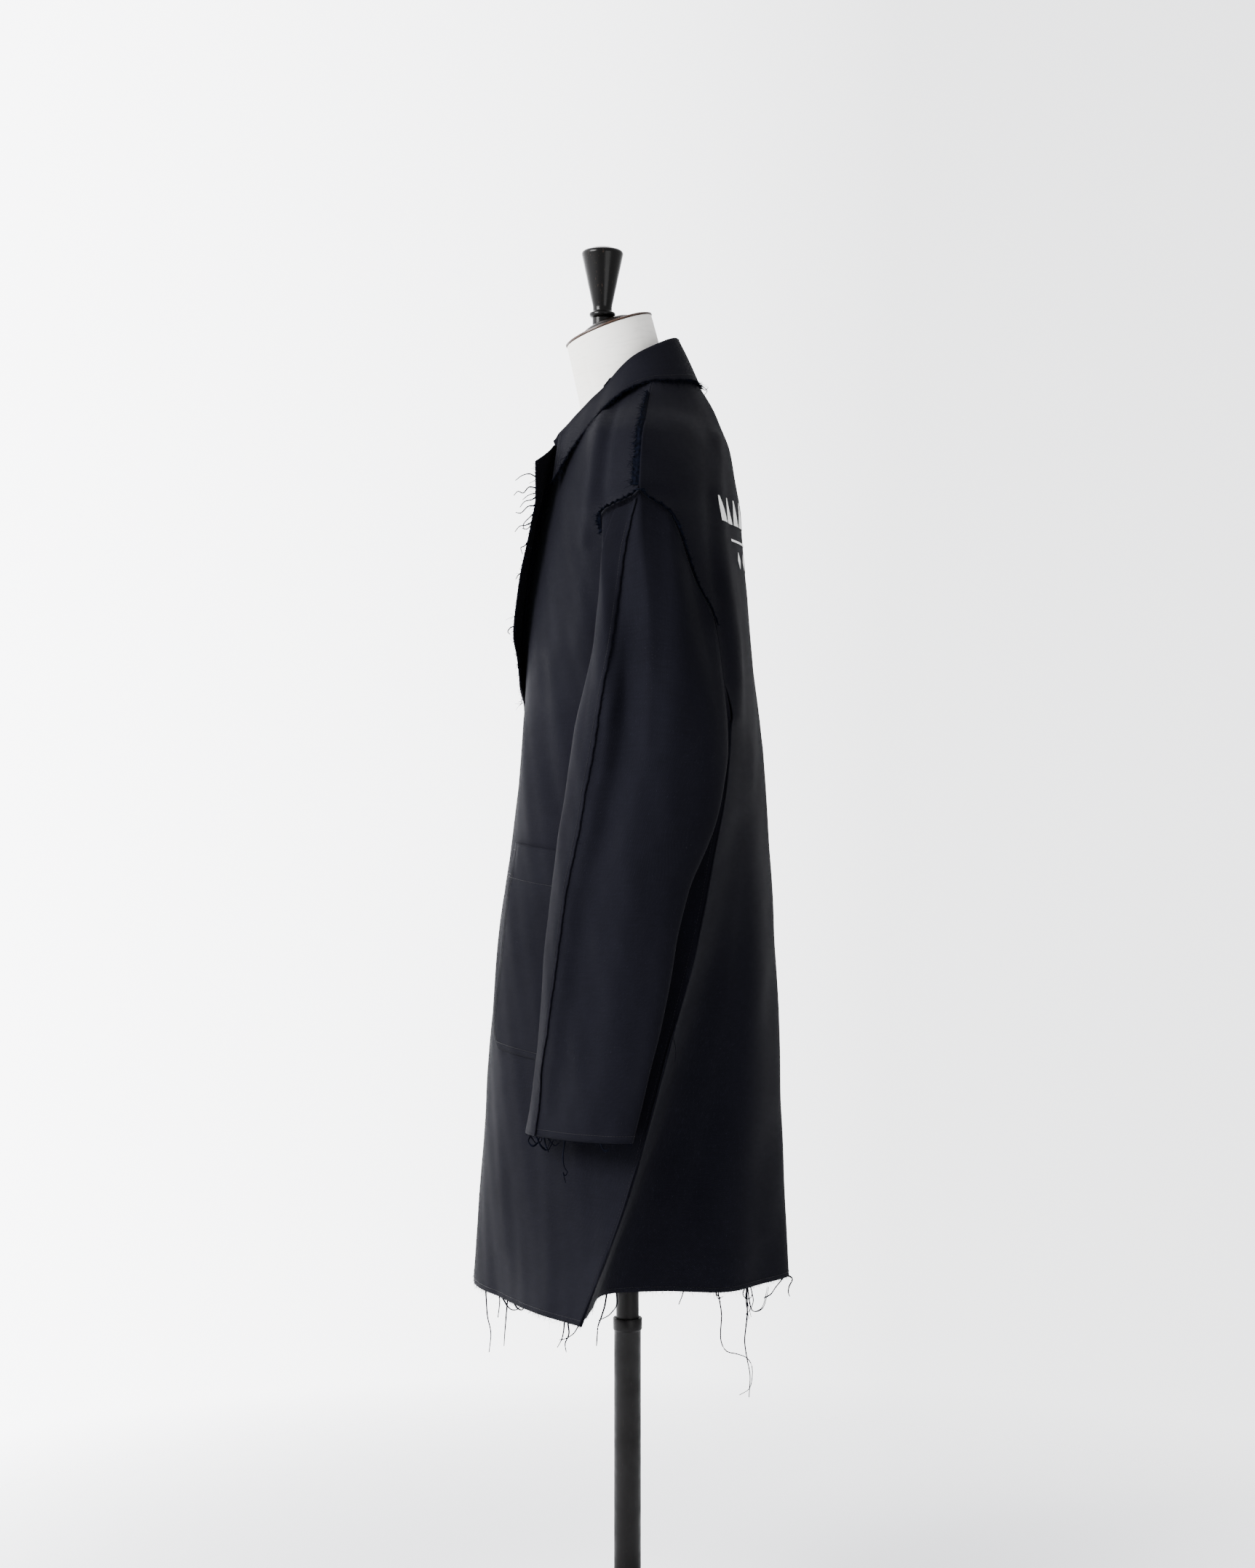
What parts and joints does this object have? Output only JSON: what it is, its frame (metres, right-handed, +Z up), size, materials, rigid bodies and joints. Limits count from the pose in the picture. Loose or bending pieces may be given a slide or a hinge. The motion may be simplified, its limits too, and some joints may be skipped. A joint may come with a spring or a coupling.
{
  "type": "chesterfield coat on a limbless dress form and stand",
  "caption": "Long black chesterfield coat with notched lapels, patch pockets and raw frayed edges, worn by a limbless dress form on a pole stand with a round base.",
  "frame": {"origin": "centre of the base plate's underside, on the floor, on the pole's axis", "axes": "+Z up the pole; the coat's front faces -Y and the wearer's left side is +X"},
  "size_m": [0.6116, 0.3931, 1.721],
  "materials": {
    "coat_cloth": "matt fine black twill",
    "loose_thread": "matt black thread",
    "form_canvas": "plain cream canvas",
    "cap_wood": "dark polished wood",
    "knob_lacquer": "gloss black lacquer",
    "stand_metal": "semi-gloss dark paint"
  },
  "bodies": {
    "root": {"armhole_seam_left": "coat_cloth", "armhole_seam_right": "coat_cloth", "base_plate": "stand_metal", "base_socket": "stand_metal", "coat_back": "coat_cloth", "coat_front_left": "coat_cloth", "coat_front_right": "coat_cloth", "collar": "coat_cloth", "cuff_fray_left": "loose_thread", "cuff_fray_right": "loose_thread", "dress_form": "form_canvas", "hem_fray_back": "loose_thread", "hem_fray_left": "loose_thread", "hem_fray_right": "loose_thread", "knob": "knob_lacquer", "neck_cap": "cap_wood", "pocket_left": "coat_cloth", "pocket_right": "coat_cloth", "pole_inner": "stand_metal", "pole_outer": "stand_metal", "shoulder_seam_left": "coat_cloth", "shoulder_seam_right": "coat_cloth", "sleeve_lap_left": "coat_cloth", "sleeve_lap_right": "coat_cloth", "sleeve_left": "coat_cloth", "sleeve_right": "coat_cloth"}
  },
  "joints": []
}
